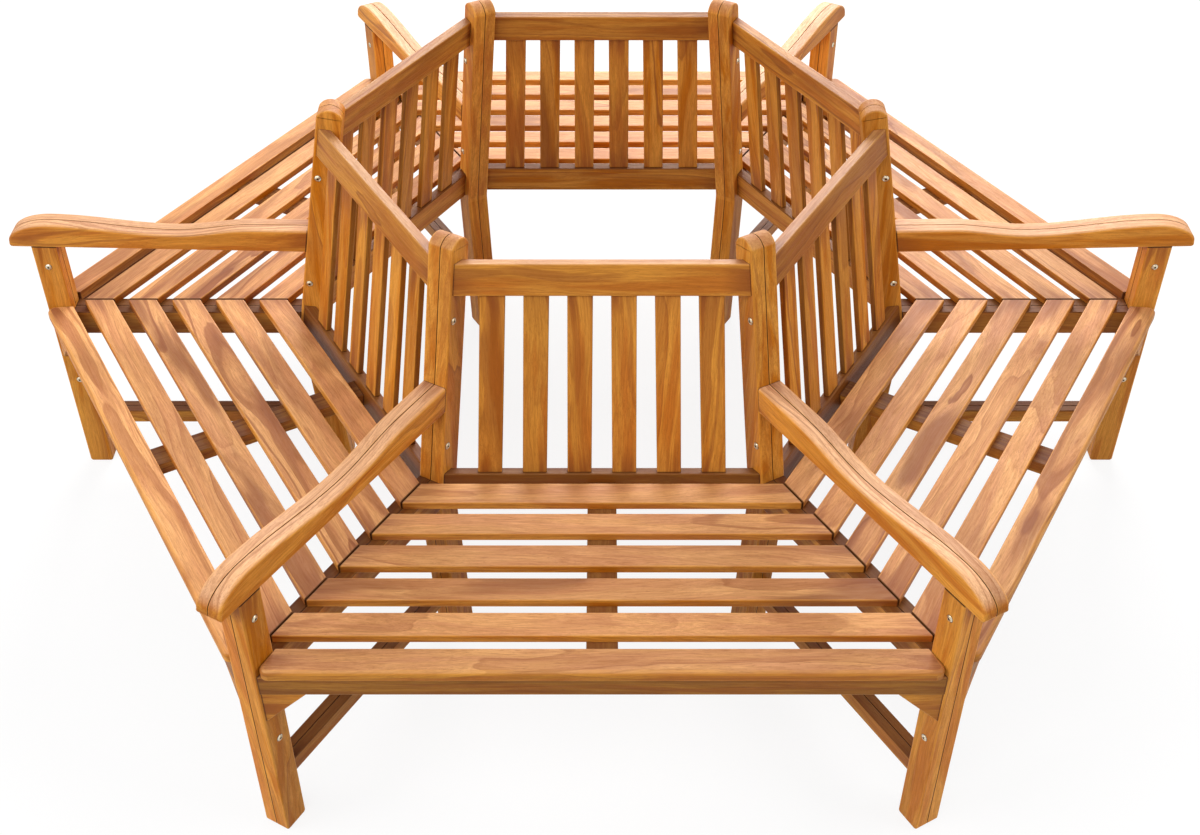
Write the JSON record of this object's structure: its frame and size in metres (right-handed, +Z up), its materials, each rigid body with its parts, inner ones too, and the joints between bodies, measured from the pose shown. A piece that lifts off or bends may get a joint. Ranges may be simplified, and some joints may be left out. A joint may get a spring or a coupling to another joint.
{
  "type": "tree bench",
  "caption": "Hexagonal wooden bench that closes around a tree trunk, with slatted seats, leaning slatted backs and shared arms at its corners.",
  "frame": {"origin": "on the ground at the middle of the tree space", "axes": "+Z up, +X towards one corner of the hexagon, -Y towards the front of seat 1"},
  "size_m": [2.394, 2.0984, 0.885],
  "materials": {
    "teak": "oiled, satin",
    "fasteners": "satin"
  },
  "bodies": {
    "root": {"apron_brackets": "teak", "arms_1": "teak", "arms_2": "teak", "arms_3": "teak", "arms_4": "teak", "arms_5": "teak", "arms_6": "teak", "back_posts_1": "teak", "back_posts_2": "teak", "back_posts_3": "teak", "back_posts_4": "teak", "back_posts_5": "teak", "back_posts_6": "teak", "back_slats_1": "teak", "back_slats_2": "teak", "back_slats_3": "teak", "back_slats_4": "teak", "back_slats_5": "teak", "back_slats_6": "teak", "corner_bolts": "fasteners", "front_apron_1": "teak", "front_apron_2": "teak", "front_apron_3": "teak", "front_apron_4": "teak", "front_apron_5": "teak", "front_apron_6": "teak", "front_board_1": "teak", "front_board_2": "teak", "front_board_3": "teak", "front_board_4": "teak", "front_board_5": "teak", "front_board_6": "teak", "front_legs_1": "teak", "front_legs_2": "teak", "front_legs_3": "teak", "front_legs_4": "teak", "front_legs_5": "teak", "front_legs_6": "teak", "leg_stretchers": "teak", "lower_rail_1": "teak", "lower_rail_2": "teak", "lower_rail_3": "teak", "lower_rail_4": "teak", "lower_rail_5": "teak", "lower_rail_6": "teak", "seat_bearers": "teak", "seat_slats_1": "teak", "seat_slats_2": "teak", "seat_slats_3": "teak", "seat_slats_4": "teak", "seat_slats_5": "teak", "seat_slats_6": "teak", "slat_screws": "fasteners", "sleeve_nuts": "fasteners", "top_rail_1": "teak", "top_rail_2": "teak", "top_rail_3": "teak", "top_rail_4": "teak", "top_rail_5": "teak", "top_rail_6": "teak"}
  },
  "joints": []
}
